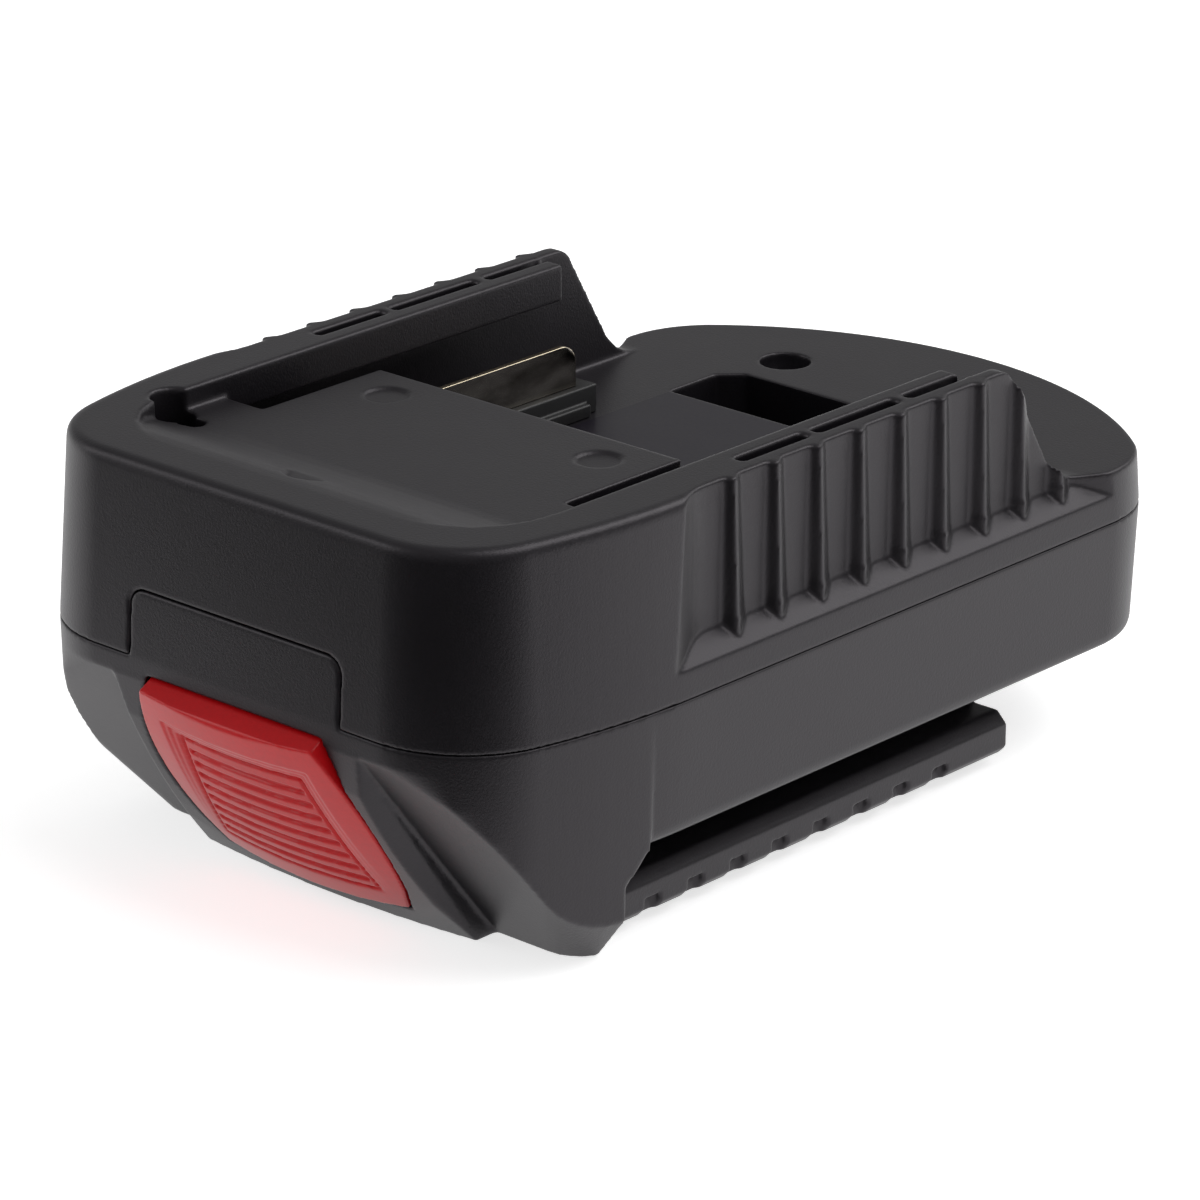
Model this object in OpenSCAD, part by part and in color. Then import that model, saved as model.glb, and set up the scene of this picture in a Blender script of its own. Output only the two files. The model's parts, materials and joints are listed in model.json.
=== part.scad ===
// Tool battery adapter: a slim two-shell housing with a slide-in battery channel on top
// and T-rails underneath that slide into a cordless tool.
// Millimetres, +Z up, -Y is the button end.
// The origin is under the middle of the footprint, level with the foot.

/* [Housing] */
// Overall length from the front face to the crown of the rear arc
body_l = 127; // [124:1:140]
// Height of the parting plane above the foot
parting_z = 27.9; // [27:0.1:31]
// Height of the upper shell above the parting plane
upper_h = 22; // [21:0.5:26]
// Radius of the plan corners
corner_r = 14; // [11:0.5:16]
// Radius of the bowed rear end
rear_r = 50; // [46:1:60]
// Amount by which each front corner is narrower than the full width
nose_taper = 2.2; // [1.8:0.1:3]
// Length over which the sides swell from the front corner to the full width
taper_l = 17.5; // [15:0.5:20]
// Moulded wall thickness of both shells
wall_t = 2.2; // [1.8:0.1:2.6]
// Inward lean of the upper walls from the parting plane to the rim
rim_draft = 1.4; // [0.8:0.1:1.8]
// Edge rounding of the rim
rim_round = 1.2; // [0.8:0.1:1.6]
// Inward lean of the lower walls
lower_draft = 0.6; // [0.2:0.1:0.8]
// Edge rounding of the body underside
under_round = 1.5; // [0.8:0.1:2]

/* [Battery channel] */
// Depth of the channel floor below the rim
channel_d = 15.8; // [14:0.1:17]
// Depth of the front platform below the rim
platform_d = 2.5; // [1.5:0.1:3.5]
// Distance from the front face to the rear edge of the platform
platform_l = 46.1; // [44:0.1:48]
// Width of the platform
platform_w = 45.4; // [43:0.2:47]
// Length of the side grooves beside the platform
groove_l = 18.6; // [14:0.2:20]
// Width of the undercut channel that takes the battery's rails
undercut_w = 65; // [60:0.2:72]
// Thickness of each side, from the undercut to the outside
side_t = 5; // [4.6:0.1:6]
// Reach of each guide lip over the undercut
lip_reach = 3.9; // [3.2:0.1:4.2]
// Thickness of the guide lips
lip_t = 4.4; // [3.6:0.1:5]
// Distance from the front face to the rear end of the lips
lip_end = 83; // [80:0.5:85]
// Distance from the rear crown to the top of the wall sweep
sweep_back = 40.7; // [39:0.1:42]
// Radius at the top of the wall sweep
sweep_top_r = 2.5; // [1.5:0.1:3]
// Fillet radius where the wall sweep meets the floor
sweep_foot_r = 7; // [5:0.5:8]

/* [Side ribs] */
// Depth of the ribbed side panels below the full width
panel_d = 2.9; // [2.4:0.1:3.1]
// Number of ribs on each side
rib_count = 9; // [5:1:9]
// Rib spacing along the side
rib_pitch = 7; // [6:0.1:7.2]
// Height of a rib crest above the panel at the rim
rib_h = 0.95; // [0.8:0.05:1.2]
// Height of a rib crest above the panel at the ledge
rib_foot_h = 1.6; // [1.4:0.05:1.9]
// Length of the steep front flank of a rib at the ledge
rib_front = 0.9; // [0.8:0.1:1.6]
// Length of the gentle rear flank of a rib at the ledge
rib_rear = 2.9; // [2.4:0.1:3.2]

/* [Lock pocket and screws] */
// Width of the lock pocket in the channel floor
pocket_w = 38.8; // [34:0.2:40]
// Length of the lock pocket
pocket_l = 10.7; // [9:0.1:11.5]
// Depth of the lock pocket below the floor
pocket_d = 9.5; // [7:0.1:10]
// Distance from the rear crown to the rear edge of the pocket
pocket_back = 24.5; // [24:0.1:26]
// Spacing of the two rear screw holes
screw_span = 33; // [28:0.5:36]
// Distance from the rear crown to the rear screw holes
screw_back = 17.6; // [16:0.1:18]
// Shank diameter of the housing screws
screw_d = 3; // [2.5:0.1:3.2]
// Head diameter of the housing screws
screw_head_d = 5.6; // [5:0.1:5.9]
// Shank length of the housing screws
screw_l = 12; // [10:0.5:13]
// Diameter of the screw access holes
screw_hole_d = 6.2; // [6:0.1:7]

/* [Tool rails] */
// Width over the two rail flanges
rail_w = 64; // [62:0.2:65]
// Width over the two rail necks
rail_neck_w = 54; // [52:0.2:56]
// Clear width between the rails
rail_gap = 40; // [39:0.2:42]
// Thickness of the rail flanges
rail_t = 5.3; // [4.6:0.1:5.8]
// Height of the body underside above the rail bottoms
under_h = 10.9; // [10.6:0.1:12]
// Height of the rail bottoms above the foot
rail_z = 1.4; // [0.8:0.1:2]
// Distance from the front face to the rear end of the rails
rail_end = 92.5; // [88:0.5:96]
// Number of notches along each rail
notch_count = 8; // [4:1:8]

/* [Release button] */
// Width of the button at its top
button_w = 26; // [24:0.2:28]
// Width of the button at its widest
button_wide_w = 32.4; // [31:0.2:33.6]
// Width of the button at its foot
button_foot_w = 27.6; // [26:0.2:29]
// Height of the button along the sloped pad
button_l = 25.9; // [24.5:0.1:26.2]
// Amount by which the crowned face of the button stands proud of the pad
button_proud = 2.9; // [2.7:0.1:3.2]
// Travel of the button into the housing
button_travel = 4; // [3:0.1:4]
// Set-back of the sloped pad at the middle of its lower edge
pad_setback = 14.3; // [13.4:0.1:15]
// Bow of the pad's lower edge
pad_bow = 1.4; // [0.8:0.1:2]
// Swell of the pad round the button
pad_crown = 1.5; // [1.2:0.1:1.7]
// Distance of the top of the sloped pad below the parting plane
pad_drop = 2.4; // [1.5:0.1:3]
// Width of the raised pad round the button at its top
pad_w = 37; // [36:0.2:38.4]
// Width of the raised pad at its lower edge
pad_foot_w = 41.4; // [39:0.2:44]
// Set-back of the scoops behind the pad at their lower edge
scoop_d = 4.5; // [3.6:0.1:4.8]

/* [Contacts] */
// Distance between the two battery contact blades
blade_span = 44.6; // [43.6:0.2:45]
// Thickness of the contact blades
blade_t = 0.8; // [0.6:0.05:1]
// Length of the contact blades behind the platform
blade_l = 31.8; // [26:0.2:33]
// Height of the blade tops above the channel floor
blade_h = 8.8; // [7:0.1:10]
// Height of the contact carriers above the channel floor
carrier_h = 3.5; // [3:0.1:4]
// Spacing of the two power clips under the housing
clip_span = 22; // [18:0.2:24]

/* [Fits] */
// Gap between the release latch and the housing
slide_gap = 0.3; // [0.25:0.05:0.4]
// Gap round fixed pieces that are pushed or screwed in
seat_gap = 0.1; // [0.05:0.05:0.2]

/* [Hidden] */
$fn = 48;
sliver = 0.01;
past = 1;
body_w = undercut_w + 2 * side_t;
half_w = body_w / 2;
under_z = rail_z + under_h;
lip_gap = undercut_w - 2 * lip_reach;
pad_z = parting_z - pad_drop;
pad_a = atan(pad_setback / pad_z);

// Button: outline in the pad frame and a face that is part of a large ball
button_top = -0.2;
button_edge = 0.4;
button_r = 92;
button_crest = -8.9;
ball_fn = 200;
button_wide_z = -14;
button_corner_z = -21.8;
button_bow = 0.6;
button_rise = -button_top - button_wide_z;
button_inset = (button_wide_w - button_w) / 2;
button_side_r = (button_rise * button_rise + button_inset * button_inset) / (2 * button_inset);
edge_z = -button_top - button_edge;
face_y = button_r - button_proud;
edge_y = face_y - sqrt(button_r * button_r - pow(edge_z - button_crest, 2));
overhang = -edge_y * cos(pad_a) + edge_z * sin(pad_a);
y_front = (overhang - body_l) / 2;
y_rear = (overhang + body_l) / 2;

// Swell of the pad: stations down the slope and width of its flanks
crown_top = -5;
crown_low = -23;
crown_step = 3;
crown_flank = 1.2;

rim_z = parting_z + upper_h;
floor_z = rim_z - channel_d;
platform_z = rim_z - platform_d;
lip_z = rim_z - lip_t;
platform_y = y_front + platform_l;
groove_y = platform_y - groove_l;
lip_end_y = y_front + lip_end;
inner_floor_z = under_z + wall_t;

// Plan outline: front corners, swelling sides, rear corners and a bowed rear end, all tangent.
front_cx = half_w - corner_r - nose_taper;
front_cy = y_front + corner_r;
side_cy = front_cy + taper_l;
side_dx = half_w - front_cx;
side_r = (side_dx * side_dx + taper_l * taper_l - corner_r * corner_r) / (2 * nose_taper);
side_cx = half_w - side_r;
front_a = atan2(front_cy - side_cy, front_cx - side_cx);
crown_cy = y_rear - rear_r;
rear_cx = half_w - corner_r;
rear_cy = crown_cy + sqrt(pow(rear_r - corner_r, 2) - rear_cx * rear_cx);
rear_a = atan2(rear_cy - crown_cy, rear_cx);

// Wall sweep in side view
sweep_y = y_rear - sweep_back;
sweep_a = 30;
sweep_top = [sweep_y + sweep_top_r * cos(sweep_a), rim_z - sweep_top_r * (1 - sin(sweep_a))];
sweep_foot_z = floor_z + sweep_foot_r * (1 - sin(sweep_a));
sweep_foot_y = sweep_top[0] + (sweep_top[1] - sweep_foot_z) * tan(sweep_a) + sweep_foot_r * cos(sweep_a);

// Side panels: where they blend out of the corners and where they run back into the sides
panel_x = half_w - panel_d;
panel_start = 27;
panel_in_y = y_front + panel_start;
panel_blend = 9.5;
panel_stop = 3;
panel_out_y = sweep_foot_y - panel_stop;
panel_blend_out = 8;
ledge_z = parting_z + 3.1;
ledge_rise = 2.4;
ledge_round = 0.5;
rib_in = 2.7;
rib_y = panel_in_y + panel_blend + rib_in;

// Deck in front of the platform
ramp_y = y_front + 7.5;
ramp_l = 12;
deck_corner_r = 12;
deck_round = 0.4;
dimple_d = 5.3;
dimple_depth = 0.35;
dimple_x = 16;
dimple_back = 5.9;
dimple_front = 12;
dimple_drop = 0.9;
key_y = y_front + 19;
key_x = -28.1;
key_r = 2.5;
key_end_r = 1.6;
key_span = 2.9;
key_neck = 2.4;

// Mould-core slots in the lips: thickness and start and end behind the platform
lip_slot_t = 1.5;
lip_slot_spans = [[-1.1, 9.9], [11.4, 25.3], [27, 36.7]];

// Sloped pad and the frame that the button slides in
slope_l = pad_z / cos(pad_a);
button_root = 2.5;
field_top = -4.7;
field_low = -23.2;
field_w_top = 9.6;
field_w_low = 12.4;
field_shift = [0.45, -3];
field_steps = 3;
field_step_w = 0.75;
grip_d = 0.4;
grip_line = 0.4;
grip_inset = 0.4;
grip_count = 8;
grip_pitch = 1.95;
grip_slot = 0.8;
grip_start = 2.2;
ear_t = 1.5;
ear_w = 18.2;
ear_low = -14;
ear_high = -8;
foot_end_y = y_front + 22.1;
foot_bevel_z = 5.1;
groove_slant = 3.4;
foot_bevel = 4.3;
foot_corner_r = 5;
scoop_r = 12;
scoop_a = atan((pad_setback + scoop_d) / pad_z);
scoop_fall = pad_z - foot_bevel_z - scoop_r * (1 - sin(scoop_a));
scoop_end_y = y_front + scoop_fall * tan(scoop_a) + scoop_r * cos(scoop_a);

// Tongue of the lower shell that keys into the front of the upper shell
tongue_w = 31.7;
tongue_h = 7.7;
tongue_t = 2;
tongue_r = 2;

// Latch slider and its springs, in the pad frame
latch_w = 18;
latch_t = 2;
latch_y = button_root + ear_t;
latch_high = -9;
latch_low = -23.8;
hook_y = foot_end_y + 0.9;
hook_l = 5;
hook_tip_z = rail_z + 1.2;
hook_slant = 2;
hook_web = 2;
arm_top_z = under_z - button_travel * sin(pad_a) - slide_gap - seat_gap;
spring_d = 6;
spring_wire = 0.8;
spring_x = 5.5;
spring_z = -13;
spring_l = 11;
bracket_y = latch_y + latch_t + slide_gap + spring_l;
bracket_t = 2;
bracket_w = 20;
bracket_high = -7;

// Lower interior: board on four posts, terminal block between the rails
board_z = inner_floor_z + 2.9;
board_t = 1.6;
board_w = 54;
board_l = 42;
board_y = platform_y - 3.4;
post_in = 5;
post_d = 6;
post_x = 22;
board_hole_d = 2.6;
board_screw_d = 2.4;
board_screw_l = 4;
board_head_d = 4.6;
board_head_h = 1.4;
terminal_w = rail_gap - 2 * slide_gap;
terminal_l = 27;
terminal_end_y = y_front + rail_end - 2;
terminal_low_z = rail_z + 0.6;
part_z = board_z + board_t;
clip_l = 15;
clip_h = 6.4;
clip_t = 0.6;
clip_gap = 1.2;
clip_room = 0.4;
clip_z = rail_z + 2;
tail_l = 4;
slot_w = 1.6;

// Components on the board: places from its left-right middle and front edge, and sizes
transistor_x = -8.2;
transistor_y = 12;
transistor_pitch = 8;
transistor_size = [6.4, 7, 2.3];
can_x = 12;
can_y = 24;
can_d = 8;
can_h = 9;
fuse_x = 4;
fuse_y = 11;
fuse_size = [11, 5, 6];
resistor_x = -10;
resistor_y = 29;
resistor_d = 2.5;
resistor_l = 6.5;
resistor_flat = 1.2;

// Battery contacts: carrier section, its plug through the floor, the blade's foot and solder tail
carrier_out = 2.4;
carrier_in = 1.6;
carrier_past = 2.4;
step_w = 0.9;
step_h = 1.6;
step_back = 2;
plug_t = 2.8;
plug_y = platform_y + 4;
plug_l = 8;
plug_below = 0.6;
blade_low = 1;
blade_in = 1;
blade_tail_y = plug_y + 1.5;
blade_tail_l = 5;
label_t = 0.15;
label_gap = 0.8;

// Screw columns
front_screw_x = 15.5;
front_screw_in = 12.4;
front_screw_y = platform_y - front_screw_in;
rear_screw_y = y_rear - screw_back;
column_wall = 1.5;
column_d = screw_hole_d + 2 * column_wall;
shoulder_t = 1.6;
head_h = 2.2;
front_seat_drop = 6;
front_seat_z = parting_z - front_seat_drop;

// Points on an arc from one angle to another
function arc(cx, cy, r, a0, a1, n) =
    [for (i = [0:n]) let (a = a0 + (a1 - a0) * i / n) [cx + r * cos(a), cy + r * sin(a)]];

// Points of a smooth S-shaped step from p to q
function ease(p, q, n) =
    [for (i = [0:n]) let (t = i / n, u = (1 - cos(180 * t)) / 2)
        [p[0] + (q[0] - p[0]) * u, p[1] + (q[1] - p[1]) * t]];

// Right half of the plan outline, moved inward by d
function half_outline(d) = concat(
    arc(front_cx, front_cy, corner_r - d, -90, front_a, 40),
    arc(side_cx, side_cy, side_r - d, front_a, 0, 12),
    arc(rear_cx, rear_cy, corner_r - d, 0, rear_a, 20),
    arc(0, crown_cy, rear_r - d, rear_a, 90, 20));

// Whole plan outline, moved inward by d
function outline(d) = let (h = half_outline(d), n = len(h))
    concat(h, [for (i = [n - 2:-1:0]) [-h[i][0], h[i][1]]]);

// A point of the pad frame (y inward, z up the slope) as [Y, Z]
function on_pad(y, z) = [y_front + y * cos(pad_a) - z * sin(pad_a), pad_z + y * sin(pad_a) + z * cos(pad_a)];

// Thin slice of the outline at height z
module slice(d, z) {
    translate([0, 0, z]) linear_extrude(height = sliver) polygon(outline(d));
}

// Side-view profile (Y, Z) extruded across the width
module across(w) {
    translate([-w / 2, 0, 0]) rotate([90, 0, 90]) linear_extrude(height = w) children();
}

// Front-view profile (X, Z) extruded along Y from y0 over length l
module along(y0, l) {
    translate([0, y0 + l, 0]) rotate([90, 0, 0]) linear_extrude(height = l) children();
}

// Box given by its two corners
module block(a, b) {
    translate(a) cube(b - a);
}

// Left and right copies
module both_sides() {
    children();
    mirror([1, 0, 0]) children();
}

// Frame of the sloped pad: y points into the housing, z up the slope
module pad_frame() {
    translate([0, y_front, pad_z]) rotate([pad_a, 0, 0]) children();
}

// Outer form of the upper shell at full height, with a rounded rim
module crown_form() {
    hull() {
        slice(0, parting_z);
        for (a = [0:30:90])
            slice(rim_draft + rim_round * (1 - cos(a)), rim_z - rim_round * (1 - sin(a)) - sliver);
    }
}

// Low rear deck with a rounded edge
module deck_form() {
    deck_draft = rim_draft * (floor_z - parting_z) / upper_h;
    hull() {
        slice(0, parting_z);
        for (a = [0:30:90])
            slice(deck_draft + deck_round * (1 - cos(a)), floor_z - deck_round * (1 - sin(a)) - sliver);
    }
}

// Side view of the front block and side walls, swept down to the floor at the rear
module sweep_profile() {
    polygon(concat([[y_front - past, parting_z], [y_front - past, rim_z + past], [sweep_y, rim_z + past]],
        arc(sweep_y, rim_z - sweep_top_r, sweep_top_r, 90, sweep_a, 4),
        arc(sweep_foot_y, floor_z + sweep_foot_r, sweep_foot_r, 180 + sweep_a, 270, 6),
        [[sweep_foot_y, parting_z]]));
}

// Material removed in front of a side panel, above its sloped ledge
module panel_cut() {
    outside = half_w + past;
    intersection() {
        translate([0, 0, parting_z]) linear_extrude(height = upper_h + past)
            polygon(concat([[outside, panel_in_y]],
                ease([half_w, panel_in_y], [panel_x, panel_in_y + panel_blend], 8),
                ease([panel_x, panel_out_y], [half_w, panel_out_y + panel_blend_out], 8),
                [[outside, panel_out_y + panel_blend_out]]));
        along(panel_in_y, panel_out_y + panel_blend_out - panel_in_y)
            polygon([[outside, rim_z + past], [panel_x - sliver, rim_z + past],
                [panel_x - sliver, ledge_z + ledge_rise + ledge_round],
                [panel_x + ledge_round, ledge_z + ledge_rise - ledge_round / 2],
                [half_w, ledge_z], [outside, ledge_z - ledge_rise / panel_d * past]]);
    }
}

// One side's row of ribs, which lean out towards the ledge
module rib_row() {
    lean = atan((rib_foot_h - rib_h) / (rim_z - ledge_z));
    shoulder_h = 0.86 * rib_foot_h;
    crest_in = 0.8 * rib_front;
    crest_out = rib_front + 0.25 * rib_rear;
    for (i = [0:rib_count - 1]) translate([panel_x, rib_y + i * rib_pitch, ledge_z])
        rotate([0, -lean, 0]) linear_extrude(height = (rim_z - ledge_z - rib_foot_h * sin(lean)) / cos(lean))
            polygon([[-wall_t / 2, 0], [0, 0], [shoulder_h, crest_in], [rib_foot_h, rib_front],
                [shoulder_h, crest_out], [0, rib_front + rib_rear], [-wall_t / 2, rib_front + rib_rear]]);
}

// Plan of the battery channel for a given clear width, leaving the platform standing
module channel_plan(w, y_end) {
    difference() {
        translate([-w / 2, groove_y]) square([w, y_end - groove_y]);
        translate([-platform_w / 2, groove_y - past])
            square([platform_w, platform_l - (groove_y - y_front) + past]);
    }
}

// Battery channel: the open slot, the undercut below the lips and the shallow front deck
module channel_cut() {
    open_end = y_rear + past;
    translate([0, 0, floor_z]) linear_extrude(height = channel_d + past) channel_plan(lip_gap, open_end);
    translate([0, 0, floor_z]) linear_extrude(height = lip_z - floor_z) channel_plan(undercut_w, open_end);
    block([-undercut_w / 2, lip_end_y, floor_z], [undercut_w / 2, open_end, rim_z + past]);
    intersection() {
        across(lip_gap) polygon(concat([[ramp_y, rim_z + past]],
            [for (p = ease([rim_z, ramp_y], [platform_z, ramp_y + ramp_l], 8)) [p[1], p[0]]],
            [[lip_end_y, platform_z], [lip_end_y, rim_z + past]]));
        translate([0, 0, platform_z - past]) linear_extrude(height = platform_d + 3 * past)
            deck_plan();
    }
}

// Plan of the front deck with rounded front corners
module deck_plan() {
    cx = lip_gap / 2 - deck_corner_r;
    cy = ramp_y + deck_corner_r;
    polygon(concat(arc(cx, cy, deck_corner_r, -90, 0, 6),
        [[lip_gap / 2, lip_end_y], [-lip_gap / 2, lip_end_y]],
        arc(-cx, cy, deck_corner_r, 180, 270, 6)));
}

// Slots through the lips that let the mould core out of the undercut
module lip_slots() {
    x = undercut_w / 2;
    for (s = lip_slot_spans)
        block([x - lip_slot_t, platform_y + s[0], lip_z - past], [x, platform_y + s[1], rim_z + past]);
}

// Key-shaped hole across the step at the left front of the deck
module key_hole() {
    depth = wall_t + platform_d + 2 * past;
    translate([key_x, key_y, platform_z - wall_t - past]) linear_extrude(height = depth) {
        circle(r = key_r);
        translate([key_span, 0]) circle(r = key_end_r);
        translate([0, -key_neck / 2]) square([key_span, key_neck]);
    }
}

// Hollow inside the upper shell: under the deck at the front and under the floor at the rear
module upper_hollow() {
    inset = wall_t + rim_draft;
    top_z = platform_z - wall_t;
    translate([0, 0, parting_z - past]) linear_extrude(height = floor_z - wall_t - parting_z + past)
        polygon(outline(wall_t));
    intersection() {
        translate([0, 0, parting_z - past]) linear_extrude(height = top_z - parting_z + past)
            polygon(outline(inset));
        union() {
            block([-half_w, y_front, parting_z - past], [half_w, groove_y - wall_t, rim_z]);
            block([-platform_w / 2 + wall_t, groove_y - wall_t - past, parting_z - past],
                [platform_w / 2 - wall_t, platform_y - wall_t, rim_z]);
        }
    }
}

// Tongue plate in the front face, grown by g for the matching notch
module tongue_form(g) {
    w = tongue_w / 2 + g;
    top = parting_z + tongue_h + g;
    along(y_front - past, tongue_t + g + past)
        polygon(concat([[-w, parting_z - past], [w, parting_z - past]],
            arc(w - tongue_r, top - tongue_r, tongue_r, 0, 90, 6),
            arc(-w + tongue_r, top - tongue_r, tongue_r, 90, 180, 6)));
}

// Upper shell with the battery channel
module upper_shell() color([0.2, 0.2, 0.21]) {
    pocket_y = y_rear - pocket_back - pocket_l;
    tub_t = 1.5;
    difference() {
        union() {
            difference() {
                union() {
                    deck_form();
                    intersection() {
                        union() {
                            difference() {
                                crown_form();
                                both_sides() panel_cut();
                            }
                            both_sides() rib_row();
                        }
                        across(body_w + 2 * past) sweep_profile();
                    }
                }
                channel_cut();
                upper_hollow();
            }
            block([-pocket_w / 2 - tub_t, pocket_y - tub_t, floor_z - pocket_d - tub_t],
                [pocket_w / 2 + tub_t, pocket_y + pocket_l + tub_t, floor_z - sliver]);
            both_sides() translate([screw_span / 2, rear_screw_y, parting_z])
                cylinder(d = column_d, h = floor_z - wall_t / 2 - parting_z);
            both_sides() translate([front_screw_x, front_screw_y, parting_z])
                cylinder(d = column_d, h = platform_z - wall_t / 2 - parting_z);
        }
        lock_pocket(pocket_y);
        both_sides() translate([screw_span / 2, rear_screw_y, 0]) {
            translate([0, 0, parting_z + shoulder_t]) cylinder(d = screw_hole_d, h = upper_h);
            translate([0, 0, parting_z - past]) cylinder(d = screw_d + 2 * seat_gap, h = upper_h);
        }
        both_sides() translate([front_screw_x, front_screw_y, parting_z - past])
            cylinder(d = screw_d + seat_gap, h = screw_l - (parting_z - front_seat_z) + 2 * past);
        both_sides() lip_slots();
        both_sides() translate([dimple_x, platform_y - dimple_back, platform_z - dimple_depth])
            cylinder(d = dimple_d, h = platform_d);
        translate([0, y_front + dimple_front, rim_z - dimple_drop]) cylinder(d = dimple_d, h = platform_d);
        key_hole();
        both_sides() carrier_plug(seat_gap);
        tongue_form(seat_gap);
    }
}

// Lock pocket with clipped rear corners
module lock_pocket(y0) {
    clip = 2.6;
    w = pocket_w / 2;
    translate([0, y0, floor_z - pocket_d]) linear_extrude(height = pocket_d + past)
        polygon([[-w, 0], [w, 0], [w, pocket_l - clip], [w - clip, pocket_l], [clip - w, pocket_l],
            [-w, pocket_l - clip]]);
}

// Side view of the edge between the front corners and the scoops: a slope that levels out at the foot
function scoop_edge() = let (level = arc(scoop_end_y, foot_bevel_z + scoop_r, scoop_r, 180 + scoop_a, 270, 6))
    concat([for (t = [0:0.25:0.75]) [y_front, pad_z] + (level[0] - [y_front, pad_z]) * t], level);

// Tray of the lower shell: gently leaning walls and a rounded lower edge
module tray_form() {
    hull() {
        slice(0, parting_z - sliver);
        for (a = [0:30:90])
            slice(lower_draft + under_round * (1 - cos(a)), under_z + under_round * (1 - sin(a)));
    }
}

// Front end of the lower shell: straight walls, corners scooped away towards the foot
module foot_form() {
    hull() {
        slice(0, parting_z - sliver);
        for (p = scoop_edge()) intersection() {
            slice(lower_draft * (1 - p[1] / parting_z), p[1]);
            block([-half_w, p[0], 0], [half_w, y_rear, parting_z]);
        }
        linear_extrude(height = sliver) intersection() {
            polygon(outline(foot_bevel));
            foot_plan();
        }
    }
}

// Underside of the foot, with rounded front corners
module foot_plan() {
    w = half_w - foot_bevel;
    y0 = y_front + pad_setback + scoop_d;
    right = concat(arc(w - foot_corner_r, y0 + foot_corner_r, foot_corner_r, -90, 0, 6), [[w, y_rear]]);
    polygon(concat(right, [for (i = [len(right) - 1:-1:0]) [-right[i][0], right[i][1]]]));
}

// Raised pad that surrounds the button: straight at its top, wider and bowed at its lower edge
module pad_form() {
    foot = pad_foot_w / 2;
    bow_r = (foot * foot + pad_bow * pad_bow) / (2 * pad_bow);
    bow_a = asin(foot / bow_r);
    hull() {
        block([-pad_w / 2, y_front, pad_z - sliver], [pad_w / 2, foot_end_y, pad_z]);
        pad_frame() for (z = [crown_top:-crown_step:crown_low]) {
            w = (pad_w - z / slope_l * (pad_foot_w - pad_w)) / 2 - crown_flank;
            block([-w, pow(z - button_crest, 2) / (2 * button_r) - pad_crown, z - sliver], [w, wall_t, z]);
        }
        linear_extrude(height = sliver) polygon(concat(
            arc(0, y_front + pad_setback + bow_r, bow_r, 270 - bow_a, 270 + bow_a, 12),
            [[foot, foot_end_y], [-foot, foot_end_y]]));
    }
}

// Side view of the foot, with the slanted end of the rail groove
module foot_profile() {
    polygon([[y_front - past, -past], [foot_end_y, -past], [foot_end_y, under_z - groove_slant],
        [foot_end_y + groove_slant, under_z], [foot_end_y + groove_slant, parting_z],
        [y_front - past, parting_z]]);
}

// One T-rail, with a row of notches in the lower outer edge
module rail() {
    edge = 1;
    shoulder = 1.4;
    notch_l = 2.6;
    notch_d = 1.2;
    notch_h = 2.2;
    rail_y = y_front + rail_end;
    notch_y = foot_end_y + 8;
    translate([0, 0, rail_z]) difference() {
        along(foot_end_y - past, rail_y - foot_end_y + past)
            polygon([[rail_gap / 2, 0], [rail_w / 2 - edge, 0],
                [rail_w / 2, edge], [rail_w / 2, rail_t - shoulder],
                [rail_w / 2 - shoulder, rail_t], [rail_neck_w / 2, rail_t], [rail_neck_w / 2, under_h + past],
                [rail_gap / 2, under_h + past]]);
        for (i = [0:notch_count - 1])
            block([rail_w / 2 - notch_d, notch_y + i * rib_pitch, -past],
                [rail_w / 2 + past, notch_y + notch_l + i * rib_pitch, notch_h]);
    }
}

// Hollow inside the lower shell, kept one wall behind the sloped front
module lower_hollow() {
    foot_y = y_front + pad_setback + pad_bow + scoop_d + wall_t;
    intersection() {
        translate([0, 0, inner_floor_z]) linear_extrude(height = parting_z)
            polygon(outline(wall_t + lower_draft));
        across(body_w) polygon([[y_front + wall_t, parting_z + past], [y_front + wall_t, pad_z],
            [foot_y, 0], [y_rear, 0],
            [y_rear, parting_z + past]]);
    }
    across(button_wide_w + 2 * slide_gap) polygon([on_pad(wall_t, 0), on_pad(wall_t, ear_low),
        on_pad(wall_t + pad_bow, -slope_l), [on_pad(wall_t + pad_bow, -slope_l)[0], wall_t],
        [foot_end_y - wall_t, wall_t], [foot_end_y - wall_t, pad_z]]);
    pad_frame() block([-ear_w - slide_gap, wall_t, ear_low - slide_gap],
        [ear_w + slide_gap, latch_y + button_travel + slide_gap, ear_high + slide_gap]);
}

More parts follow.
